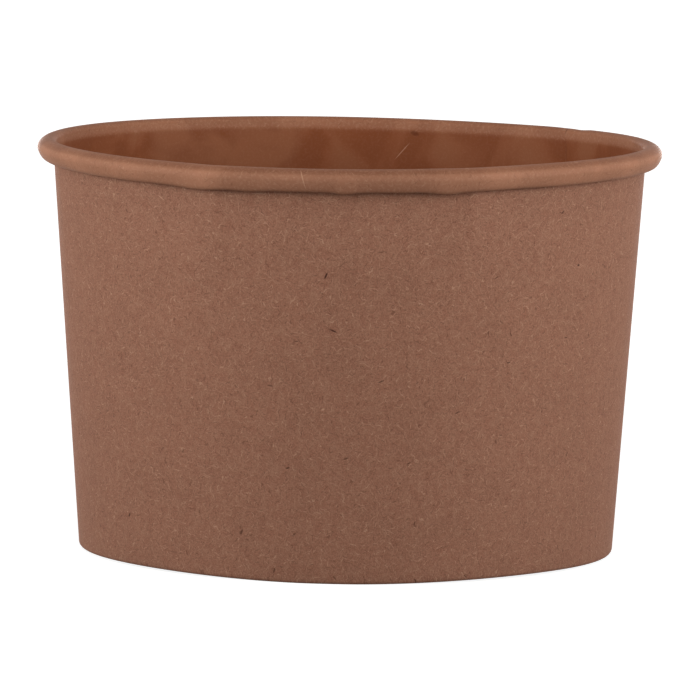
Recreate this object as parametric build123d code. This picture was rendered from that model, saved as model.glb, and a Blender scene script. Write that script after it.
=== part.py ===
from build123d import *
import os
from math import acos, atan2, cos, degrees, radians, sin

# Overall sizes of the tub, in millimetres
rim_diameter = 96.0  # across the outside of the rolled rim
tub_height = 63.0  # table to the top of the rolled rim
base_diameter = 82.4  # across the outside of the wall where it stands on the table

# Board and bonds
wall_board = 0.42  # thickness of the side wall's board
disc_board = 0.36  # thickness of the bottom's board
glue_line = 0.05  # bonded faces of board lie this far apart

# Rolled rim
roll_width = 3.0  # inside face of the wall to the outside of the roll
roll_flank = 0.97  # straight stretch down the outside of the roll
tuck_share = 0.8  # share of that stretch which the raw edge runs up inside the roll

# Bottom, its skirt and the hem that grips it
hem_height = 6.8  # table to the raw edge of the wall's folded hem
hem_clearance = 0.3  # raw edge of the hem to the start of the bottom's bend
disc_bend = 0.8  # inside radius where the bottom turns down into its skirt
base_flat = 0.05  # depth of the fold that is pressed flat where the tub stands

# Lap seam of the side wall, at the back right
lap_bearing = 131.0  # bearing of the inner raw edge, in degrees from the front towards the right
lap_width = 8.0  # overlap of the two ends of the blank
joggle_length = 5.0  # stretch over which the board steps outwards over its other end
lap_clearance = 0.4  # the lap's outer layer stops this far below the middle of the roll
seam_clearance = 0.4  # the step inside stops this far above the bottom and below the outer layer

# Values that follow from the sizes above
roll_radius = roll_width / 2
low_radius = roll_width / 2 - wall_board - glue_line
fold_radius = disc_board / 2 + glue_line
disc_recess = hem_height + hem_clearance + disc_bend
disc_top = disc_recess + disc_board
degrees_per_length = degrees(4 / (rim_diameter + base_diameter))

# Section of the wall: X runs outwards from the tub's axis and Y runs up. The fold grips the skirt at
# its centre, and the wall's inside face touches a circle round the fold and one round the roll.
fold = Vector(base_diameter / 2 - fold_radius - wall_board, fold_radius + wall_board - base_flat)
roll = Vector(rim_diameter / 2 - roll_radius, tub_height - roll_radius)
span = roll - fold
lean = acos((fold_radius + roll_radius) / span.length) - atan2(span.Y, span.X)
up = Vector(sin(lean), cos(lean))
out = Vector(cos(lean), -sin(lean))
low = roll + out * (roll_radius - low_radius) - up * roll_flank


def section_plane(bearing):
    """Upright plane through the tub's axis: X runs outwards at the bearing and Y runs up."""
    turn = radians(bearing)
    return Plane(origin=(0, 0, 0), x_dir=(sin(turn), -cos(turn), 0), z_dir=(-cos(turn), -sin(turn), 0))


def wall_point(depth, height):
    """Point of the section at a height, this deep outwards from the wall's inside face."""
    foot = fold + out * (fold_radius + depth)
    return foot + up * ((height - foot.Y) / up.Y)


def fold_inside():
    """Inside of the fold: the board is pressed square round the foot of the skirt."""
    side, drop = out * fold_radius, up * fold_radius
    return Polyline(fold - side, fold - side - drop, fold + side - drop, fold + side).edges()


def fold_outside():
    """Outside of the fold, round as seen from the table."""
    radius = fold_radius + wall_board
    return [ThreePointArc(fold - out * radius, fold - up * radius, fold + out * radius)]


def board_face(depth, fold_edges):
    """One face of the board from the hem's raw edge, round the fold, up the wall and round the roll.

    The depth counts outwards from the face on the inside of the tub.
    """
    top_r = roll_radius - depth
    low_r = low_radius - depth
    hem_foot = fold - out * (fold_radius + depth)
    hem_top = hem_foot + up * ((hem_height - hem_foot.Y) / up.Y)
    tuck_foot = low - out * low_r
    return [
        Line(hem_top, hem_foot),
        *fold_edges,
        Line(fold + out * (fold_radius + depth), roll - out * top_r),
        ThreePointArc(roll - out * top_r, roll + up * top_r, roll + out * top_r),
        Line(roll + out * top_r, low + out * low_r),
        ThreePointArc(low + out * low_r, low - up * low_r, tuck_foot),
        Line(tuck_foot, tuck_foot + up * roll_flank * tuck_share),
    ]


def board_section():
    """Closed section of the side wall's board, hemmed below and rolled outwards above."""
    inside = board_face(0, fold_inside())
    outside = board_face(wall_board, fold_outside())
    hem_edge = Line(inside[0] @ 0, outside[0] @ 0)
    roll_edge = Line(inside[-1] @ 1, outside[-1] @ 1)
    return Face(Wire(inside + [roll_edge] + outside + [hem_edge]))


def stepped_layer(depth, bottom, top, end_bearing):
    """One thickness of board on the wall's cone, this deep outwards, from the joggle to an end bearing.

    A plane through the joggle's start takes the first stretch down to nothing, so the layer rises
    evenly to its full thickness at the lap.
    """
    start = lap_bearing - joggle_length * degrees_per_length
    corners = [
        wall_point(depth, bottom),
        wall_point(depth + wall_board, bottom),
        wall_point(depth + wall_board, top),
        wall_point(depth, top),
    ]
    band = section_plane(start) * Face(Wire.make_polygon(corners))
    layer = revolve(band, Axis.Z, end_bearing - start)
    foot = section_plane(start).from_local_coords(corners[0])
    head = section_plane(start).from_local_coords(corners[3])
    step = section_plane(lap_bearing).from_local_coords(wall_point(depth + wall_board, (bottom + top) / 2))
    ramp = Plane(origin=foot, x_dir=head - foot, z_dir=(step - foot).cross(head - foot))
    reach = 2 * (rim_diameter + tub_height)
    beyond = Box(reach, reach, reach, align=(Align.CENTER, Align.CENTER, Align.MIN))
    return layer - ramp * beyond


def side_wall():
    """The blank wrapped round and lapped: its outer end steps out over its inner end at the seam.

    The lap's outer layer is added on the outside, and the same step is taken from the inside, up to
    the inner raw edge. A thin slice of the fold is pressed flat on the table.
    """
    wrapped = revolve(section_plane(0) * board_section(), Axis.Z)
    lap_top = roll.Y - lap_clearance
    outer_edge = lap_bearing + lap_width * degrees_per_length
    wrapped += stepped_layer(wall_board, fold.Y, lap_top, outer_edge)
    wrapped -= stepped_layer(0, disc_top + seam_clearance, lap_top - seam_clearance, lap_bearing)
    table = Box(rim_diameter, rim_diameter, tub_height, align=(Align.CENTER, Align.CENTER, Align.MAX))
    return wrapped - table


def bottom_disc():
    """A flat disc whose edge is bent down into a skirt that stands in the wall's folded hem."""
    half = disc_board / 2
    bend_rise = disc_recess - disc_bend - (fold - out * (half + disc_bend)).Y
    bend = fold - out * (half + disc_bend) + up * (bend_rise / up.Y)
    rise = Vector(0, 1)
    halfway = (rise + out).normalized()
    axis_low, axis_high = Vector(0, disc_recess), Vector(0, disc_top)
    outer_r = disc_bend + disc_board
    section = Wire(
        [
            Line(axis_low, bend + rise * disc_bend),
            ThreePointArc(bend + rise * disc_bend, bend + halfway * disc_bend, bend + out * disc_bend),
            Line(bend + out * disc_bend, fold - out * half),
            Line(fold - out * half, fold + out * half),
            Line(fold + out * half, bend + out * outer_r),
            ThreePointArc(bend + out * outer_r, bend + halfway * outer_r, bend + rise * outer_r),
            Line(bend + rise * outer_r, axis_high),
            Line(axis_high, axis_low),
        ]
    )
    return revolve(section_plane(0) * Face(section), Axis.Z)


os.makedirs("parts", exist_ok=True)
export_step(side_wall(), "parts/side_wall.step")
export_step(bottom_disc(), "parts/bottom_disc.step")
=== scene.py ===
from collections import namedtuple
from math import cos, pi, radians, sin

import bpy
import numpy as np
from bpy.props import FloatProperty, FloatVectorProperty, PointerProperty
from bpy.types import Operator, Panel, PropertyGroup
from mathutils import Matrix, Vector


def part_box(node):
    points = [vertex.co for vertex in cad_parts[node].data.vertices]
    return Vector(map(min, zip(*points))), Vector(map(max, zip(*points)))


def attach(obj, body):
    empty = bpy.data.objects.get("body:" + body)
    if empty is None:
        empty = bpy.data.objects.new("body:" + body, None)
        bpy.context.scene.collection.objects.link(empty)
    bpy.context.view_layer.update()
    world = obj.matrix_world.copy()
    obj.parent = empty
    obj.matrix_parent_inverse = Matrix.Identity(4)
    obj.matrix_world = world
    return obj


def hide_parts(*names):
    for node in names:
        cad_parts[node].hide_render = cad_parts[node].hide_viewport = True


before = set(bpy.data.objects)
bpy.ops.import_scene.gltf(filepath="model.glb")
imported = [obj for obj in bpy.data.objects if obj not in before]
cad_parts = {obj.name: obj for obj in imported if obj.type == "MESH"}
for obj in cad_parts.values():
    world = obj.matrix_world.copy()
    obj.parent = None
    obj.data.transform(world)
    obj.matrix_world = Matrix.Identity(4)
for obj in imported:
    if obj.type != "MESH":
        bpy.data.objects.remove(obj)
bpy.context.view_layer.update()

bl_info = {
    "name": "Paper Tub",
    "version": (1, 0, 0),
    "blender": (4, 5, 0),
    "location": "3D View > Sidebar > Tub",
    "description": "Dresses a paper tub in wrapped kraft board on a plain stage",
    "category": "Object",
}

WALL_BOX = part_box("side_wall")
MM = 0.001
BOARD_MAP = "board_mm"


# Kinds of property

def paint(red, green, blue):
    """Linear colour of a display colour that is given in parts of 255, by the usual display curve."""
    shares = np.array([red, green, blue]) / 255
    return tuple(np.where(shares <= 0.04045, shares / 12.92, ((shares + 0.055) / 1.055) ** 2.4))


def length(name, default, description):
    """A size in metres, shown with the scene's unit of length."""
    return FloatProperty(name=name, default=default, description=description, unit="LENGTH", precision=5)


def angle(name, degrees, description):
    """An angle, kept in radians."""
    return FloatProperty(name=name, default=radians(degrees), description=description, subtype="ANGLE")


def share(name, default, description):
    """A plain share between nothing and all."""
    return FloatProperty(name=name, default=default, description=description, subtype="FACTOR", min=0, max=1)


def power(name, default, description):
    """A light's power in watts."""
    return FloatProperty(name=name, default=default, description=description, unit="POWER")


def colour(name, value, description):
    """A linear colour."""
    return FloatVectorProperty(name=name, default=value, description=description, subtype="COLOR",
                               min=0, max=1)


class TubSizes(PropertyGroup):
    """Sizes of the blank and of the forms that it is rolled and folded into."""

    rim_diameter: length("Rim", WALL_BOX[1].x - WALL_BOX[0].x, "Across the outside of the rolled rim")
    height: length("Height", WALL_BOX[1].z, "Table to the top of the rolled rim")
    base_diameter: length("Base", 0.0824, "Across the outside of the wall at the table")
    wall_board: length("Wall board", 0.00042, "Thickness of the side wall's board")
    disc_board: length("Bottom board", 0.00036, "Thickness of the bottom's board")
    glue_line: length("Glue line", 0.00005, "Distance between bonded faces")
    roll_width: length("Roll width", 0.00287, "Inside face of the wall to the outside of the roll")
    roll_edge: length("Roll edge", 0.00095, "Radius of the tight turn at the top of the wall")
    roll_crown: length("Roll crown", 0.0015, "Top of the roll down to its outermost line")
    roll_depth: length("Roll depth", 0.00342, "Top of the roll to its underside")
    hem_height: length("Hem height", 0.0068, "Table to the raw edge of the folded hem")
    disc_recess: length("Recess", 0.0079, "Table to the underside of the bottom")
    disc_bend: length("Bend", 0.0008, "Inside radius where the bottom turns down")
    base_flat: length("Base flat", 0.00005, "Depth of the fold that is pressed flat")
    lap_bearing: angle("Lap bearing", 131, "Bearing of the inner raw edge, from the front to the right")
    lap_width: length("Lap width", 0.008, "Overlap of the blank's two ends")
    joggle_length: length("Joggle", 0.005, "Stretch over which the board steps over its other end")


class TubHandling(PropertyGroup):
    """How far handling has pressed the tub out of round."""

    press_depth: length("Press depth", 0.0006, "Depth of the flat at the front of the rim")
    press_left: angle("Press left", -26, "Bearing of the flat's left corner")
    press_right: angle("Press right", 23, "Bearing of the flat's right corner")
    press_soft: share("Corner softness", 0.25, "Rounding of the flat's corners")
    tuck_depth: length("Tuck depth", 0.0004, "How much deeper the flat is right under the roll")
    crease_height: length("Crease", 0.0007, "Height of the soft ridge at the flat's corners")
    crease_width: length("Crease width", 0.004, "Distance over which a ridge runs out")
    rim_rise: length("Rim rise", 0.00027, "The rim's top rises and dips by this, twice round")
    rim_rise_bearing: angle("Rise bearing", 71.4, "Bearing of the highest rise")
    foot_lift: length("Foot lift", 0.00039, "Most that the foot stands clear of the table, four times round")
    foot_bearing: angle("Foot bearing", -4, "Bearing at which the foot touches the table")
    kink_drop: length("Kink drop", 0.0003, "How far the roll's underside sags at a kink")


class TubFinish(PropertyGroup):
    """Colours of the board's two faces and its raw edge."""

    kraft: colour("Kraft", paint(148, 98, 76), "Bare outside face")
    kraft_light: colour("Light fibre", paint(190, 146, 119), "Pale fibres in the bare face")
    kraft_dark: colour("Dark fibre", paint(104, 65, 47), "Darker fibres in the bare face")
    fleck: colour("Fleck", paint(66, 29, 15), "Scattered dark flecks")
    rolled: colour("Rolled rim", paint(173, 121, 94), "Coated board on the rolled rim")
    # Inside and Inside deep are darker, redder copies of the rolled rim's coated board: painted shade and warm
    # bounce light of the tub's hollow
    inner: colour("Inside", paint(142, 87, 58), "Coated board on the inside of the wall")
    inner_deep: colour("Inside deep", paint(132, 72, 41), "Deeper patches of the inside")
    core: colour("Raw edge", paint(158, 116, 90), "Cut edge of the board")


class TubStage(PropertyGroup):
    """Camera and light."""

    distance: length("Camera distance", 1.15396, "Camera to the point that it looks at")
    elevation: angle("Elevation", 6.59, "Camera above the horizon")
    roll: angle("Roll", 0.806, "Turn of the camera about its view")
    aim_height: length("Aim height", 0.03058, "Height of the point that the camera looks at")
    focal_pixels: FloatProperty(name="Focal length", default=7471.3, description="Length of the lens in pixels")
    centre_pixel: FloatProperty(name="Centre", default=348.0, description="Image column of the tub's axis")
    side_power: power("Side lights", 0.146, "Power of each side light")
    front_power: power("Front lights", 0.128, "Power of each front light")
    back_power: power("Back lights", 0.095, "Power of each back light")
    ambient: FloatProperty(name="Ambient", default=0.35, min=0,
                           description="Strength of the even light all round")


# Steps of the grids, round the wall and along each stretch of its section, and on the bottom
ROUND_STEPS = 600
SECTION_STEPS = {"hem": 5, "fold": 8, "wall": 24, "edge": 9, "crown": 14, "tuck": 18, "end": 2}
ROLL_FADE_STEPS = 2
DISC_STEPS = {"reach": 24, "bend": 10, "round": 180}

# The roll's section, and the lap where it is squeezed and thinned
ROLL_SLACK = 1.5
TUCK_REACH_SHARE = 0.91
LAP_TAPER = 4 * MM
LAP_SQUEEZE_SHARE = 0.85
LAP_THIN_SHARE = 0.97

# Material slots of a board, and the angle past which its edges stay sharp
COATED, BARE, RAW = 0, 1, 2
SHARP_EDGE = radians(50)

# Waves round the rim and the foot: number round, height in metres, bearing of a crest in degrees
RIM_LOBES = ((1, 0.00004, 90.0), (2, 0.00007, 1.9), (3, 0.00013, 49.9),
             (4, 0.00031, 4.0), (5, 0.00012, -16.1), (6, 0.00014, 0.0))
FOOT_LOBES = ((1, 0.00006, -90.0), (2, 0.0001, 66.0), (5, 0.00008, 20.0))
RIM_WAVES, FOOT_WAVES = 2, 4

# Handling: levels are shares of the height between which a mark sets in
PRESS_POWER = 5
PRESS_EDGE = radians(3)
TUCK_LEVELS = (0.8, 0.93)
CREASE_LEVELS = (0.62, 0.9)
UNDERSIDE_LEVELS = (0.985, 0.945)

# The creases at the flat's left and right corner: rounding of the crest, share of the full height
CREASES = ((0.1, 1.0), (0.3, 0.7))

# Kinks of the roll's underside: bearing in degrees, share of the full drop, width in degrees
ROLL_KINKS = ((-29.0, 1.0, 4.5), (-19.0, 0.7, 3.0), (-0.9, 1.0, 1.9), (9.5, 0.3, 1.8), (17.8, 1.25, 3.2),
              (-82.0, -0.8, 24.0), (75.0, -0.5, 24.0))

# Marks on the bare wall: bearing, height, turn, half length, half width, strength (degrees, millimetres)
FLECKS = (
    (-2.9, 38.65, -23, 0.75, 0.15, 1.0), (-4.4, 46.95, 66, 0.65, 0.18, 1.0), (-22.0, 7.35, 61, 0.6, 0.24, 0.7),
    (6.6, 31.0, 20, 0.65, 0.13, 0.8), (28.5, 37.7, -89, 0.55, 0.12, 0.7), (-11.9, 17.6, 17, 0.4, 0.15, 0.9),
    (-14.9, 1.8, 67, 0.55, 0.18, 0.7), (14.2, 9.2, 79, 0.45, 0.15, 0.7), (33.6, 33.0, 4, 0.45, 0.14, 0.8),
    (-10.6, 7.5, 39, 0.5, 0.17, 0.5), (33.8, 37.3, -58, 0.45, 0.13, 0.7), (-0.1, 19.3, 20, 0.5, 0.15, 0.7),
    (-15.4, 30.0, -5, 0.65, 0.13, 0.6), (50.8, 46.95, 0, 0.3, 0.22, 0.9), (45.1, 55.3, 40, 0.45, 0.15, 0.8),
    (22.5, 25.9, 25, 0.55, 0.13, 0.7), (31.6, 21.0, 110, 0.5, 0.13, 0.6), (-51.6, 7.7, 60, 0.5, 0.18, 0.9),
)
PALE_MARKS = ((-4.8, 26.7, 20, 0.35, 0.2, 0.9), (-39.0, 57.3, -32, 0.9, 0.12, 0.7))

# Marks on the coated face, told in the same way, with the way along the board past the roll's start as height
PALE_LINES = ((-8.4, 4.2, 76, 2.0, 0.09, 0.7), (-8.8, 3.2, 76, 1.2, 0.08, 0.5),
              (-190.5, -4.3, 130, 2.1, 0.1, 0.6), (-229.0, -12.1, 90, 12.0, 0.25, 0.15))
DARK_MARKS = ((-193.0, -1.4, 15, 0.9, 0.45, 0.4), (-228.7, 0.7, 90, 1.0, 0.2, 0.35))

# Painted light on the far inside wall, paler where the side lights fall over the rim: bearings of both ends in
# degrees, softness in millimetres, weight
INSIDE_LIGHT_POOLS = ((-170.0, -135.0, 2.0, 0.22), (-222.0, -194.0, 5.0, 0.08))

# Painted shade on the roll's pressed front, which the side lights leave dull: the bearings of its ends in
# degrees and its softness in millimetres
FRONT_SHADE_BEARINGS = (-23.0, 15.5)
FRONT_SHADE_SOFT = 4.0

# Millimetres past the roll's start: where the inside's painted shade turns into the rim's tone over the lip,
# the painted shade on the upward-facing crown, the roll's front
LIP = (-1.6, -0.2)
CROWN_SHADE_SPAN = (0.55, 3.25)
CROWN_SHADE_SOFT = 0.35
ROLL_FRONT = (2.6, 3.6)

# Drift that curls the hairs: features to the millimetre, reach in millimetres
CURL_SCALE, CURL_REACH = 0.9, 1.1

# Shifts in millimetres that keep one layer of fibres or hairs from repeating another
FIBRE_SHIFT = (7.3, 3.1)
HAIR_SHIFT = 37.0

# The share of a dash that is fully dark or pale, and a half depth that lets it go through the whole board
DASH_CORE_SHARE = 0.5
THROUGH_BOARD = 1e6

# Camera: width of the picture in pixels and of the sensor in millimetres, near and far limit in metres
IMAGE_PIXELS = 700
SENSOR_WIDTH = 36.0
CLIP = (0.01, 20.0)

# Floor in metres from the tub: its edge, its tones (unseen, seen), and its glow (near, far) where it is seen
WHITE = (1.0, 1.0, 1.0, 1.0)
FLOOR_REACH = 6.0
FLOOR_TONES = (0.15, 0.45)
GLOW_REACH = (0.06, 0.5)
GLOW_STRENGTHS = (0.86, 1.0)

# Lights in metres: place of the right one of each pair, height of the point on the axis that both face, size
LIGHT_SPREAD = radians(66)
LightPair = namedtuple("LightPair", "prefix aside back up aim size power")
LIGHT_PAIRS = (
    LightPair(prefix="", aside=0.4, back=-0.1, up=0.13, aim=0.1, size=0.22, power="side_power"),
    LightPair(prefix="front_", aside=0.26, back=-0.5, up=0.22, aim=0.16, size=0.25, power="front_power"),
    LightPair(prefix="back_", aside=0.13, back=0.5, up=0.045, aim=0.1, size=0.08, power="back_power"),
)


# Shapes

def direction(turn):
    """Unit vectors of the section, outwards and up, turned by an angle from outwards."""
    return np.stack([np.cos(turn), np.sin(turn)], -1)


class BoardSection:
    """The board's inside face in the section, from the hem's raw edge to the raw edge in the roll.

    Straight stretches and arcs are joined in order. `points` holds distance from the axis and height
    in metres, `normals` the direction from the inside face to the outside face, `along` the length so
    far and `on_roll` how far a point belongs to the roll. The wall leans outwards, so `out` points
    across it and `up` along it.
    """

    def __init__(self, sizes):
        fold_r = sizes.disc_board / 2 + sizes.glue_line
        roll_r, edge_r = sizes.roll_width / 2, sizes.roll_edge
        fold = np.array([sizes.base_diameter / 2 - fold_r - sizes.wall_board,
                         fold_r + sizes.wall_board - sizes.base_flat])
        roll = np.array([sizes.rim_diameter / 2 - roll_r, sizes.height - roll_r])
        span = roll - fold
        lean = np.arccos((fold_r + roll_r) / np.hypot(*span)) - np.arctan2(span[1], span[0])
        out, up = direction(-lean), direction(pi / 2 - lean)
        self.fold, self.out, self.up = fold, out, up
        self.middle = (sizes.rim_diameter + sizes.base_diameter) / 4
        hem_foot = fold - out * fold_r
        hem_top = hem_foot + up * (sizes.hem_height - hem_foot[1]) / up[1]
        edge = roll - out * (roll_r - edge_r)
        edge = edge + up * (sizes.height - edge_r - edge[1]) / up[1]
        crown = edge - up * (sizes.roll_crown - edge_r)
        tuck = (2 * roll_r - sizes.wall_board) * TUCK_REACH_SHARE / 2
        low = crown + out * (2 * roll_r - edge_r - tuck)
        end = low - out * tuck
        crown_depth, tuck_depth = sizes.roll_crown, sizes.roll_depth - sizes.roll_crown
        steps = SECTION_STEPS
        stretches = [
            self.straight(hem_top, hem_foot, -out, steps["hem"]),
            self.arc(fold, fold_r, pi - lean, 2 * pi - lean, 1, steps["fold"]),
            self.straight(fold + out * fold_r, edge - out * edge_r, out, steps["wall"]),
            self.arc(edge, edge_r, pi - lean, pi / 2 - lean, -1, steps["edge"]),
            self.bow(crown, 2 * roll_r - edge_r, crown_depth, 1.0, pi / 2, 0, steps["crown"]),
            self.bow(low, tuck, tuck_depth, ROLL_SLACK, 0, -pi, steps["tuck"]),
            self.straight(end, end + up * edge_r, out, steps["end"]),
        ]
        self.points = np.concatenate([p[:-1] for p, _ in stretches[:-1]] + [stretches[-1][0]])
        self.normals = np.concatenate([n[:-1] for _, n in stretches[:-1]] + [stretches[-1][1]])
        self.along = np.concatenate([[0], np.cumsum(np.hypot(*np.diff(self.points, axis=0).T))])
        self.wall_start = steps["hem"] + steps["fold"]
        self.roll_start = self.wall_start + steps["wall"]
        past_fade = np.arange(len(self.points)) - self.roll_start + ROLL_FADE_STEPS
        self.on_roll = np.clip(past_fade / ROLL_FADE_STEPS, 0, 1)
        self.roll_line = self.along[self.roll_start] / MM

    @staticmethod
    def straight(start, end, normal, count):
        """Evenly spaced points from start to end, with one normal."""
        t = np.linspace(0, 1, count + 1)[:, None]
        return start + (end - start) * t, np.repeat(normal[None], count + 1, 0)

    @staticmethod
    def arc(centre, radius, start, end, side, count):
        """Points at a radius round a centre from one angle to another; the normal points away from the
        centre for side 1 and towards it for side -1."""
        away = direction(np.linspace(start, end, count + 1))
        return centre + away * radius, away * side

    def bow(self, centre, wide, deep, slack, start, end, count):
        """Part of an ellipse that leans with the wall, from one angle to another. Its height follows the
        sine raised to the slack, so that a slack above one gives flat flanks. The normal points to its
        middle, and straight across where the sine is zero."""
        turn = np.linspace(start, end, count + 1)[:, None]
        rise, side = np.abs(np.sin(turn)), np.sign(start + end)
        points = centre + self.out * wide * np.cos(turn) + self.up * side * deep * rise ** slack
        slope = deep * slack * rise ** (slack - 1) * np.cos(turn)
        normals = -self.up * side * wide * rise - self.out * slope
        normals = np.where(np.isclose(rise, 0), -self.out * np.sign(np.cos(turn)), normals)
        return points, normals / np.linalg.norm(normals, axis=1, keepdims=True)

    def across(self, bearing):
        """Board coordinate round the tub in millimetres, from a bearing in degrees."""
        return radians(bearing) * self.middle / MM

    def on_wall(self, bearing, height):
        """Board coordinates of a place on the wall, from its height above the table in millimetres."""
        wall = slice(self.wall_start, self.roll_start)
        return self.across(bearing), np.interp(height * MM, self.points[wall, 1], self.along[wall]) / MM

    def by_roll(self, bearing, past):
        """Board coordinates of a place that lies so many millimetres past the roll's start."""
        return self.across(bearing), self.roll_line + past


def step(value, low, high):
    """Rises smoothly from zero to one as a value goes from one limit to the other."""
    part = np.clip((value - low) / (high - low), 0, 1)
    return part * part * (3 - 2 * part)


def lobes(table, bearing):
    """Sum of waves round the tub, each given as its number, its height in metres and a crest's bearing."""
    return sum(height * np.cos(number * (bearing - radians(crest))) for number, height, crest in table)


def ridge(distance, rounding):
    """One at zero, falling off exponentially on both sides from a crest that is rounded by a distance."""
    return np.exp(rounding - np.hypot(distance, rounding))


def handled(radius, height, bearing, on_roll, sizes, marks):
    """Radius and height of points after handling.

    The wall stays straight between a rim and a foot that are each a little out of round. The front of
    the rim is pressed in by a parabola between two soft corners. The press fades with the fifth power
    of the height and is deepest right under the roll, and each corner has a ridge that falls off
    exponentially. The rim rises and dips twice round, the foot four times. At each kink the roll's
    underside sags by a bell curve of the bearing.
    """
    level = np.clip(height / sizes.height, 0, 1)
    left, right = marks.press_left, marks.press_right
    rise = 1 - ((bearing - (left + right) / 2) / ((right - left) / 2)) ** 2
    pressed = (rise + np.hypot(rise, marks.press_soft)) / 2 * level ** PRESS_POWER
    soft = PRESS_EDGE / 2
    between = step(bearing, left - soft, left + soft) * step(bearing, right + soft, right - soft)
    tucked = between * step(level, *TUCK_LEVELS) * (1 - on_roll ** 2)
    spread = marks.crease_width / (sizes.rim_diameter / 2)
    creased = sum(part * ridge((bearing - corner) / spread, rounding)
                  for corner, (rounding, part) in zip((left, right), CREASES))
    radius = radius + lobes(RIM_LOBES, bearing) * level + lobes(FOOT_LOBES, bearing) * (1 - level)
    radius = radius - marks.press_depth * pressed - marks.tuck_depth * tucked
    radius = radius + marks.crease_height * creased * step(level, *CREASE_LEVELS)
    swing = np.cos(RIM_WAVES * (bearing - marks.rim_rise_bearing))
    lift = (1 - np.cos(FOOT_WAVES * (bearing - marks.foot_bearing))) / 2
    height = height + marks.rim_rise * swing * level + marks.foot_lift * lift * (1 - level)
    underside = on_roll * step(level, *UNDERSIDE_LEVELS)
    for kink, drop, width in ROLL_KINKS:
        bell = np.exp(-((bearing - radians(kink)) / radians(width)) ** 2)
        height = height - marks.kink_drop * drop * bell * underside
    return radius, np.maximum(height, 0)


def turned_about(radius, bearing, height):
    """Points at a distance from the axis and a height, with bearings from the front to the right."""
    return np.stack([radius * np.sin(bearing), -radius * np.cos(bearing), height], -1)


def add_piece(name, points, faces, materials, slots, board):
    """A smooth mesh object of points in metres, with the board's own coordinates kept on its points."""
    mesh = bpy.data.meshes.new(name)
    mesh.from_pydata(points, (), faces)
    mesh.polygons.foreach_set("material_index", slots)
    mesh.polygons.foreach_set("use_smooth", np.ones(len(faces), bool))
    for material in materials:
        mesh.materials.append(material)
    kept = mesh.attributes.new(BOARD_MAP, "FLOAT_VECTOR", "POINT")
    kept.data.foreach_set("vector", np.ascontiguousarray(board, np.float32).ravel())
    mesh.update()
    mesh.validate()
    mesh.set_sharp_from_angle(angle=SHARP_EDGE)
    piece = bpy.data.objects.new(name, mesh)
    bpy.context.scene.collection.objects.link(piece)
    return piece


def grid_quads(number):
    """Quads of a grid of point numbers; the turned grid gives the quads that face the other way."""
    corners = number[:-1, :-1], number[:-1, 1:], number[1:, 1:], number[1:, :-1]
    return np.stack(corners, -1).reshape(-1, 4)


def ribbon_quads(one, other):
    """Quads between two equally long rows of point numbers."""
    return np.stack([one[:-1], other[:-1], other[1:], one[1:]], 1)


def wrapped_wall(sizes, marks):
    """Points, quads, slots and board coordinates of the wrapped blank.

    The section is carried round the axis by a little more than one turn, from the inner raw edge to
    the outer one. Over the joggle it moves along its own normals by one board and one glue line, so
    the last stretch lies on the first. In the roll the lapped boards are squeezed, and the inner raw
    edge is pressed thin. Both faces, the two raw ends and the two raw edges close it.
    """
    section = BoardSection(sizes)
    lap, joggle, taper = (size / section.middle for size in (sizes.lap_width, sizes.joggle_length, LAP_TAPER))
    end = sizes.lap_bearing
    start = end - 2 * pi
    bearing = np.linspace(start, end + lap, ROUND_STEPS + 1)
    over = step(bearing, end - joggle, end)
    under = step(bearing, start + 2 * lap, start + lap)
    squeeze = 1 - LAP_SQUEEZE_SHARE * section.on_roll[:, None] * np.maximum(over, under)
    thin = LAP_THIN_SHARE * step(bearing, start + taper, start)
    stepped = (sizes.wall_board + sizes.glue_line) * over
    depth = np.stack([stepped + sizes.wall_board * thin, stepped + sizes.wall_board])[:, None] * squeeze
    flat = section.points[None, :, None] + section.normals[None, :, None] * depth[..., None]
    on_roll = section.on_roll[None, :, None]
    radius, height = handled(flat[..., 0], flat[..., 1], bearing, on_roll, sizes, marks)
    points = turned_about(radius, bearing, height)
    board = np.empty(points.shape)
    board[..., 0] = bearing * section.middle / MM
    board[..., 1] = section.along[:, None] / MM
    board[..., 2] = depth / MM
    inside, outside = np.arange(depth.size).reshape(depth.shape)
    groups = [
        (grid_quads(inside)[:, ::-1], COATED),
        (grid_quads(outside), BARE),
        (ribbon_quads(inside[-1], outside[-1]), RAW),
        (ribbon_quads(outside[0], inside[0]), RAW),
        (ribbon_quads(inside[:, 0], outside[:, 0]), RAW),
        (ribbon_quads(outside[:, -1], inside[:, -1]), RAW),
    ]
    slots = np.concatenate([np.full(len(quads), slot) for quads, slot in groups])
    return points.reshape(-1, 3), np.concatenate([q for q, _ in groups]), slots, board.reshape(-1, 3)


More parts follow.
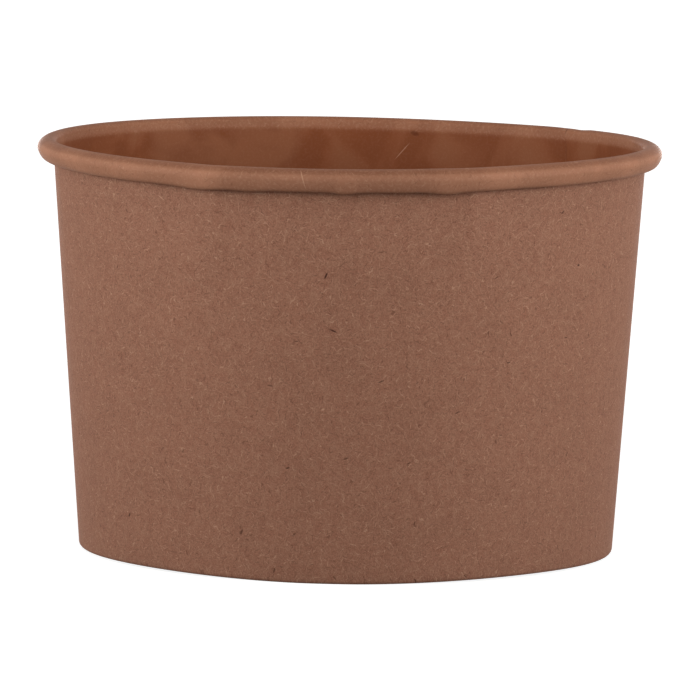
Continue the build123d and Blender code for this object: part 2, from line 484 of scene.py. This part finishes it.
def pressed_disc(sizes, marks):
    """Points, faces, slots and board coordinates of the bottom.

    The section of disc, bend and skirt is turned about the axis; each of its two faces ends in one
    point at the axis. The skirt follows the handled wall, and the disc follows less towards the axis.
    """
    section = BoardSection(sizes)
    fold, out, up = section.fold, section.out, section.up
    half, bend_r = sizes.disc_board / 2, sizes.disc_bend
    low, top = sizes.disc_recess, sizes.disc_recess + sizes.disc_board
    bend = fold - out * (half + bend_r)
    bend = bend + up * (low - bend_r - bend[1]) / up[1]
    reach = np.linspace(0, bend[0], DISC_STEPS["reach"] + 1)[1:-1]
    turn = direction(np.linspace(pi / 2, np.arctan2(out[1], out[0]), DISC_STEPS["bend"] + 1))

    def face(level, radius, foot):
        """One face of the section, from near the axis over the bend to the skirt's foot."""
        flat = np.stack([reach, np.full(len(reach), level)], 1)
        return np.concatenate([flat, bend + turn * radius, [foot]])

    under = face(low, bend_r, fold - out * half)
    over = face(top, bend_r + sizes.disc_board, fold + out * half)
    outline = np.concatenate([over, under[::-1]])
    bearing = np.linspace(0, 2 * pi, DISC_STEPS["round"] + 1)[:-1]
    still = outline[:, :1], outline[:, 1:]
    moved = handled(*still, bearing, 0, sizes, marks)
    held = step(still[0], 0, bend[0])
    radius, height = (before + (after - before) * held for before, after in zip(still, moved))
    rings = turned_about(radius, bearing, height)
    rows, columns = rings.shape[:2]
    points = np.concatenate([rings.reshape(-1, 3), [[0, 0, top], [0, 0, low]]])
    number = np.arange(rows * columns).reshape(rows, columns)
    number = np.concatenate([number, number[:, :1]], 1)
    first, last = number[0], number[-1]
    top_pole, low_pole = (np.full(columns, rows * columns + pole) for pole in (0, 1))
    upper_cap = np.stack([top_pole, first[:-1], first[1:]], 1)
    lower_cap = np.stack([low_pole, last[1:], last[:-1]], 1)
    faces = grid_quads(number.T).tolist() + upper_cap.tolist() + lower_cap.tolist()
    is_upper = np.tile(np.arange(rows - 1) < len(over) - 1, columns)
    cap_slots = np.repeat([COATED, BARE], columns)
    slots = np.concatenate([np.where(is_upper, COATED, BARE), cap_slots])
    return points, faces, slots, points / MM


# Shader nodes

def add_node(tree, kind, **inputs):
    """A node with its inputs set or linked by name, or by number after an underscore; names that start
    with a small letter are the node's own settings."""
    made = tree.nodes.new("ShaderNode" + kind)
    for name in [n for n in inputs if not n[0].isupper() and n[0] != "_"]:
        setattr(made, name, inputs.pop(name))
    for name, value in inputs.items():
        key = int(name[1:]) if name[0] == "_" else name.replace("_", " ")
        if isinstance(value, bpy.types.NodeSocket):
            tree.links.new(value, made.inputs[key])
        else:
            made.inputs[key].default_value = value
    return made


def math_node(tree, operation, first, second=0.0):
    """One sum of two values."""
    return add_node(tree, "Math", operation=operation, _0=first, _1=second).outputs[0]


def vector_node(tree, operation, first, second=(0.0, 0.0, 0.0)):
    """One sum of two vectors."""
    return add_node(tree, "VectorMath", operation=operation, _0=first, _1=second).outputs[0]


def vector_length(tree, vector):
    """Length of a vector."""
    return add_node(tree, "VectorMath", operation="LENGTH", _0=vector).outputs["Value"]


def ramp(tree, value, low, high, to_low=0.0, to_high=1.0):
    """A smooth step of a value between two limits."""
    made = add_node(tree, "MapRange", interpolation_type="SMOOTHSTEP", Value=value,
                    From_Min=low, From_Max=high, To_Min=to_low, To_Max=to_high)
    return made.outputs["Result"]


def window(tree, value, low, high, soft):
    """One between two limits and zero outside them, with soft ends."""
    rising, falling = ramp(tree, value, low - soft, low + soft), ramp(tree, value, high + soft, high - soft)
    return math_node(tree, "MULTIPLY", rising, falling)


def opaque(value):
    """A colour with full alpha."""
    return (*value, 1.0)


def layered(tree, tone, layers):
    """A tone with colours laid over it in order, each by a mask and a strength."""
    for laid, mask, strength in layers:
        factor = math_node(tree, "MULTIPLY", mask, strength)
        tone = add_node(tree, "Mix", data_type="RGBA", _0=factor, _6=tone, _7=opaque(laid)).outputs[2]
    return tone


def board_vector(tree):
    """The board's own coordinates in millimetres."""
    return add_node(tree, "Attribute", attribute_name=BOARD_MAP).outputs["Vector"]


def noise(tree, vector, scale, detail=2.0, roughness=0.5, distortion=0.0, offset=0.0):
    """Two-dimensional noise of a vector, with so many features to the millimetre."""
    placed = add_node(tree, "Mapping", Vector=vector, Location=(offset, -offset, 0.0)).outputs[0]
    made = add_node(tree, "TexNoise", noise_dimensions="2D", Vector=placed, Scale=scale, Detail=detail,
                    Roughness=roughness, Distortion=distortion)
    return made.outputs["Fac"]


def fibres(tree, vector, turns, long, wide, low, high, offset):
    """Short curved fibres that lie several ways: noise stretched along each way, cut to its crests, and
    the strongest way kept at each place."""
    kept = 0.0
    for index, turn in enumerate(turns):
        place = (offset + FIBRE_SHIFT[0] * index, FIBRE_SHIFT[1] * index, 0.0)
        placed = add_node(tree, "Mapping", vector_type="TEXTURE", Vector=vector, Location=place,
                          Rotation=(0.0, 0.0, radians(turn)), Scale=(long, wide, 1.0)).outputs[0]
        grain = add_node(tree, "TexNoise", noise_dimensions="2D", Vector=placed, Scale=1.0, Detail=1.0,
                         Roughness=0.5, Distortion=0.5).outputs["Fac"]
        kept = math_node(tree, "MAXIMUM", kept, ramp(tree, grain, low, high))
    return kept


def dash(tree, reach):
    """One dash with soft ends, from the distance to its middle in parts of its half length and width."""
    return ramp(tree, vector_length(tree, reach), 1.0, DASH_CORE_SHARE)


def dashes(tree, vector, cell, long, wide, amount, offset):
    """Scattered dashes: in each cell of a Voronoi pattern the distance from its point is stretched along
    a direction that the cell draws, and only some cells keep theirs."""
    moved = add_node(tree, "Mapping", Vector=vector, Location=(offset, offset, 0.0)).outputs[0]
    cells = add_node(tree, "TexVoronoi", voronoi_dimensions="2D", Vector=moved, Scale=1 / cell, Randomness=1.0)
    local = vector_node(tree, "SUBTRACT", moved, cells.outputs["Position"])
    drawn = add_node(tree, "SeparateColor", Color=cells.outputs["Color"])
    turn = math_node(tree, "MULTIPLY", drawn.outputs[0], 2 * pi)
    turned = add_node(tree, "VectorRotate", rotation_type="Z_AXIS", Vector=local, Angle=turn).outputs[0]
    mark = dash(tree, vector_node(tree, "MULTIPLY", turned, (1 / long, 1 / wide, 0.0)))
    return math_node(tree, "MULTIPLY", mark, math_node(tree, "LESS_THAN", drawn.outputs[1], amount))


def hairs(tree, vector, offset):
    """Short thin hairs in two layers of different length."""
    short = dashes(tree, vector, cell=1.0, long=0.45, wide=0.055, amount=0.75, offset=offset)
    long = dashes(tree, vector, cell=2.3, long=1.0, wide=0.06, amount=0.6, offset=offset + HAIR_SHIFT)
    return math_node(tree, "MAXIMUM", short, long)


def curled(tree, vector):
    """A vector moved about by slow noise, so that straight marks laid on it curl."""
    drift = add_node(tree, "TexNoise", noise_dimensions="2D", Vector=vector, Scale=CURL_SCALE, Detail=1.0,
                     Roughness=0.5).outputs["Color"]
    centred = vector_node(tree, "SUBTRACT", drift, (0.5, 0.5, 0.5))
    moved = vector_node(tree, "MULTIPLY", centred, (CURL_REACH, CURL_REACH, CURL_REACH))
    return vector_node(tree, "ADD", vector, moved)


def placed_marks(tree, board, laid, place, marks):
    """Layers of one colour: a dash for each mark of a table, put on the board by a function of the mark's
    bearing and height."""
    layers = []
    for bearing, height, turn, long, wide, strength in marks:
        local = add_node(tree, "Mapping", vector_type="TEXTURE", Vector=board,
                         Location=(*place(bearing, height), 0.0), Rotation=(0.0, 0.0, radians(turn)),
                         Scale=(long, wide, THROUGH_BOARD)).outputs[0]
        layers.append((laid, dash(tree, local), strength))
    return layers


# Materials

def start_material(name):
    """An empty material with a Principled shader on its output."""
    material = bpy.data.materials.new(name)
    material.use_nodes = True
    tree = material.node_tree
    tree.nodes.clear()
    shader = add_node(tree, "BsdfPrincipled")
    add_node(tree, "OutputMaterial", Surface=shader.outputs[0])
    return material, tree, shader


def finish_board(tree, shader, tone, roughness, specular):
    """Colour and gloss of a board's shader."""
    tree.links.new(tone, shader.inputs["Base Color"])
    shader.inputs["Roughness"].default_value = roughness
    shader.inputs["Specular IOR Level"].default_value = specular


def emboss(tree, shader, relief, strength, depth):
    """A bump of a relief on a shader, with its depth in metres."""
    bump = add_node(tree, "Bump", Strength=strength, Distance=depth, Height=relief)
    tree.links.new(bump.outputs[0], shader.inputs["Normal"])


def kraft_face(finish, section):
    """Bare kraft: slow mottling, a fine grain, pale and dark fibres and hairs every way, scattered specks
    and flecks, the larger marks one by one, and a felted bump."""
    material, tree, shader = start_material("kraft_face")
    board = board_vector(tree)
    curl = curled(tree, board)
    mottle = noise(tree, board, scale=0.16, detail=4.0, roughness=0.6, distortion=0.4, offset=5.0)
    cloud = noise(tree, board, scale=0.6, detail=3.0, roughness=0.6, distortion=0.3, offset=31.0)
    fine = noise(tree, board, scale=4.2, roughness=0.6, offset=23.0)
    pale = fibres(tree, board, turns=(8, 52, 97, 141), long=0.75, wide=0.14, low=0.55, high=0.78, offset=11.0)
    deep = fibres(tree, board, turns=(30, 75, 120, 165), long=0.7, wide=0.15, low=0.56, high=0.8, offset=57.0)
    pale_hairs = hairs(tree, curl, offset=71.0)
    tone = layered(tree, opaque(finish.kraft), [
        (finish.kraft_dark, ramp(tree, mottle, 0.38, 0.68), 0.14),
        (finish.kraft_light, ramp(tree, cloud, 0.35, 0.7), 0.12),
        (finish.kraft_light, ramp(tree, fine, 0.5, 0.72), 0.3),
        (finish.kraft_dark, ramp(tree, fine, 0.5, 0.28), 0.3),
        (finish.kraft_dark, deep, 0.32),
        (finish.kraft_light, pale, 0.26),
        (finish.kraft_dark, hairs(tree, curl, offset=19.0), 0.6),
        (finish.kraft_light, pale_hairs, 0.6),
        (finish.fleck, dashes(tree, board, cell=2.6, long=0.14, wide=0.1, amount=0.35, offset=53.0), 0.4),
        (finish.fleck, dashes(tree, board, cell=9.0, long=0.45, wide=0.11, amount=0.18, offset=3.0), 0.7),
        *placed_marks(tree, board, finish.fleck, section.on_wall, FLECKS),
        *placed_marks(tree, board, finish.kraft_light, section.on_wall, PALE_MARKS),
    ])
    finish_board(tree, shader, tone, roughness=0.85, specular=0.35)
    relief = math_node(tree, "SUBTRACT", math_node(tree, "ADD", pale_hairs, fine), deep)
    emboss(tree, shader, relief, strength=0.3, depth=0.08 * MM)
    return material


def coated_face(finish, section):
    """Kraft under a thin satin coating. The inside has a darker, redder tone with deep patches, which is
    painted shade of the tub's hollow.
    Paler stretches there are painted light where the side lights fall. The lip and the roll's front take the
    paler tone of the rim.
    Painted shade lies on the upward-facing crown and on the roll's pressed front. Faint hairs, cracks, a
    scratch, the line of the lap's edge, dark smudges and a gentle bump complete it."""
    material, tree, shader = start_material("coated_face")
    board = board_vector(tree)
    curl = curled(tree, board)
    parts = add_node(tree, "SeparateXYZ", Vector=board)
    across, along = parts.outputs["X"], parts.outputs["Y"]
    past_roll = math_node(tree, "SUBTRACT", along, section.roll_line)
    patches = noise(tree, board, scale=0.12, distortion=0.4, offset=41.0)
    fine = noise(tree, board, scale=2.4, roughness=0.6, offset=67.0)
    paler = patches
    # painted light: paler stretches of the far inside wall, where the side lights fall over the rim, added to
    # the random patches
    for left, right, soft, weight in INSIDE_LIGHT_POOLS:
        light_pool = window(tree, across, section.across(left), section.across(right), soft)
        paler = math_node(tree, "ADD", paler, math_node(tree, "MULTIPLY", light_pool, weight))
    lip = ramp(tree, past_roll, *LIP)
    crown = window(tree, past_roll, *CROWN_SHADE_SPAN, CROWN_SHADE_SOFT)
    front_shade = window(tree, across, *(section.across(bearing) for bearing in FRONT_SHADE_BEARINGS), FRONT_SHADE_SOFT)
    grain_strength = ramp(tree, lip, 0.0, 1.0, 0.05, 0.25)
    hair_strength = ramp(tree, lip, 0.0, 1.0, 0.05, 0.3)
    # painted shade: the inside starts from the darker copies of the coated board and turns into the rolled
    # rim's tone over the lip
    tone = layered(tree, opaque(finish.inner_deep), [
        (finish.inner, ramp(tree, paler, 0.42, 0.78), 1.0),
        (finish.rolled, ramp(tree, lip, 0.0, 1.0), 0.6),
        (finish.rolled, ramp(tree, past_roll, *ROLL_FRONT), 1.0),
        # painted shade: kraft_dark darkens the roll's pressed front, where the side lights give no highlight
        (finish.kraft_dark, ramp(tree, front_shade, 0.0, 1.0), 0.22),
        (finish.kraft_dark, ramp(tree, patches, 0.62, 0.36), 0.16),
        (finish.kraft_light, ramp(tree, fine, 0.45, 0.75), grain_strength),
        # painted shade: the crown faces up and gets less light, so kraft_dark darkens it
        (finish.kraft_dark, ramp(tree, crown, 0.0, 1.0), 0.2),
        (finish.kraft_light, hairs(tree, curl, offset=71.0), hair_strength),
        (finish.kraft_dark, hairs(tree, curl, offset=19.0), hair_strength),
        *placed_marks(tree, board, finish.kraft_light, section.by_roll, PALE_LINES),
        *placed_marks(tree, board, finish.fleck, section.by_roll, DARK_MARKS),
    ])
    finish_board(tree, shader, tone, roughness=0.6, specular=0.08)
    emboss(tree, shader, fine, strength=0.2, depth=0.05 * MM)
    return material


def raw_edge(finish):
    """Cut edge of the board: paler, with fine layers."""
    material, tree, shader = start_material("raw_edge")
    layers = noise(tree, board_vector(tree), scale=6.0, roughness=0.6, offset=9.0)
    tone = layered(tree, opaque(finish.core), [(finish.kraft, ramp(tree, layers, 0.35, 0.7), 1.0)])
    finish_board(tree, shader, tone, roughness=0.9, specular=0.5)
    return material


def board_materials(scene):
    """Coated face, bare face and raw edge, made once and shared by both pieces."""
    made = [bpy.data.materials.get(name) for name in ("coated_face", "kraft_face", "raw_edge")]
    if all(made):
        return made
    finish, section = scene.tub_finish, BoardSection(scene.tub_sizes)
    return [coated_face(finish, section), kraft_face(finish, section), raw_edge(finish)]


class TUB_OT_side_wall(Operator):
    """Wrap the board into the wall with its lap, rolled rim and hem"""

    bl_idname = "tub.side_wall"
    bl_label = "Side Wall"

    def execute(self, context):
        scene = context.scene
        points, faces, slots, board = wrapped_wall(scene.tub_sizes, scene.tub_handling)
        piece = add_piece("wrapped_wall", points, faces, board_materials(scene), slots, board)
        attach(piece, "root")
        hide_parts("side_wall")
        return {"FINISHED"}


class TUB_OT_bottom_disc(Operator):
    """Press the bottom with its skirt"""

    bl_idname = "tub.bottom_disc"
    bl_label = "Bottom"

    def execute(self, context):
        scene = context.scene
        points, faces, slots, board = pressed_disc(scene.tub_sizes, scene.tub_handling)
        piece = add_piece("pressed_bottom", points, faces, board_materials(scene), slots, board)
        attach(piece, "root")
        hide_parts("bottom_disc")
        return {"FINISHED"}


# Stage

def add_light(name, place, aim, size, energy):
    """A square area light that faces a point."""
    data = bpy.data.lights.new(name, "AREA")
    data.shape, data.size, data.energy, data.spread = "SQUARE", size, energy, LIGHT_SPREAD
    light = bpy.data.objects.new(name, data)
    facing = (Vector(aim) - Vector(place)).to_track_quat("-Z", "Y")
    light.matrix_world = Matrix.Translation(place) @ facing.to_matrix().to_4x4()
    bpy.context.scene.collection.objects.link(light)


def add_lights(stage):
    """Each pair of lights, one on the left and one on the right of the tub."""
    for pair in LIGHT_PAIRS:
        for side, word in ((-1, "left"), (1, "right")):
            place, aim = (side * pair.aside, pair.back, pair.up), (0, 0, pair.aim)
            add_light(f"{pair.prefix}{word}_light", place, aim, pair.size, getattr(stage, pair.power))


def add_camera(stage):
    """The camera, rolled about its view, with a long lens and a small sideways shift."""
    data = bpy.data.cameras.new("camera")
    data.sensor_width = SENSOR_WIDTH
    data.lens = stage.focal_pixels / IMAGE_PIXELS * data.sensor_width
    data.shift_x = 0.5 - stage.centre_pixel / IMAGE_PIXELS
    data.clip_start, data.clip_end = CLIP
    rise, turn = stage.elevation, stage.roll
    right, up = Vector((1, 0, 0)), Vector((0, sin(rise), cos(rise)))
    back = Vector((0, -cos(rise), sin(rise)))
    side, top = right * cos(turn) + up * sin(turn), up * cos(turn) - right * sin(turn)
    place = back * stage.distance + Vector((0, 0, stage.aim_height))
    camera = bpy.data.objects.new("camera", data)
    camera.matrix_world = Matrix.Translation(place) @ Matrix((side, top, back)).transposed().to_4x4()
    bpy.context.scene.collection.objects.link(camera)
    bpy.context.scene.camera = camera


def seen_directly(tree):
    """One for rays from the camera and for mirrored or refracted ones, else zero."""
    path = add_node(tree, "LightPath")
    direct = math_node(tree, "MAXIMUM", path.outputs["Is Camera Ray"], path.outputs["Is Glossy Ray"])
    return math_node(tree, "MAXIMUM", direct, path.outputs["Is Transmission Ray"])


def add_world(stage):
    """Even light all round, which is white where it is seen."""
    world = bpy.data.worlds.new("surroundings")
    world.use_nodes = True
    tree = world.node_tree
    tree.nodes.clear()
    strength = ramp(tree, seen_directly(tree), 0.0, 1.0, stage.ambient, 1.0)
    light = add_node(tree, "Background", Color=WHITE, Strength=strength)
    add_node(tree, "OutputWorld", Surface=light.outputs[0])
    bpy.context.scene.world = world


def add_floor():
    """A wide flat floor that keeps the tub's shadow. It is grey to the light that it sends back to the tub,
    and where it is seen directly a glow lifts it to white, a little less close to the tub."""
    mesh = bpy.data.meshes.new("floor")
    corners = [(x * FLOOR_REACH, y * FLOOR_REACH, 0) for x, y in ((-1, -1), (1, -1), (1, 1), (-1, 1))]
    mesh.from_pydata(corners, (), [(0, 1, 2, 3)])
    material = bpy.data.materials.new("floor")
    material.use_nodes = True
    tree = material.node_tree
    tree.nodes.clear()
    direct = seen_directly(tree)
    from_tub = vector_length(tree, add_node(tree, "TexCoord").outputs["Object"])
    matt = add_node(tree, "BsdfDiffuse", Color=ramp(tree, direct, 0.0, 1.0, *FLOOR_TONES))
    strength = math_node(tree, "MULTIPLY", direct, ramp(tree, from_tub, *GLOW_REACH, *GLOW_STRENGTHS))
    glow = add_node(tree, "Emission", Color=WHITE, Strength=strength)
    both = add_node(tree, "AddShader", _0=matt.outputs[0], _1=glow.outputs[0])
    add_node(tree, "OutputMaterial", Surface=both.outputs[0])
    mesh.materials.append(material)
    floor = bpy.data.objects.new("floor", mesh)
    bpy.context.scene.collection.objects.link(floor)


class TUB_OT_stage(Operator):
    """Set the floor, the light and the camera"""

    bl_idname = "tub.stage"
    bl_label = "Stage"

    def execute(self, context):
        scene = context.scene
        add_floor()
        add_world(scene.tub_stage)
        add_lights(scene.tub_stage)
        add_camera(scene.tub_stage)
        scene.view_settings.view_transform = "Standard"
        return {"FINISHED"}


class TUB_PT_panel(Panel):
    """Sizes, finish and the steps that build the tub"""

    bl_label = "Paper Tub"
    bl_idname = "TUB_PT_panel"
    bl_space_type = "VIEW_3D"
    bl_region_type = "UI"
    bl_category = "Tub"

    def draw(self, context):
        for name, group in GROUPS.items():
            box = self.layout.box()
            for prop in group.__annotations__:
                box.prop(getattr(context.scene, name), prop)
        for operator in OPERATORS:
            self.layout.operator(operator.bl_idname)


GROUPS = {"tub_sizes": TubSizes, "tub_handling": TubHandling, "tub_finish": TubFinish, "tub_stage": TubStage}
OPERATORS = (TUB_OT_side_wall, TUB_OT_bottom_disc, TUB_OT_stage)
CLASSES = (*GROUPS.values(), *OPERATORS, TUB_PT_panel)


def register():
    for made in CLASSES:
        bpy.utils.register_class(made)
    for name, group in GROUPS.items():
        setattr(bpy.types.Scene, name, PointerProperty(type=group))


def unregister():
    for name in GROUPS:
        delattr(bpy.types.Scene, name)
    for made in reversed(CLASSES):
        bpy.utils.unregister_class(made)


def main():
    """Build both pieces and the stage."""
    register()
    bpy.ops.tub.side_wall()
    bpy.ops.tub.bottom_disc()
    bpy.ops.tub.stage()


if __name__ == "__main__":
    main()
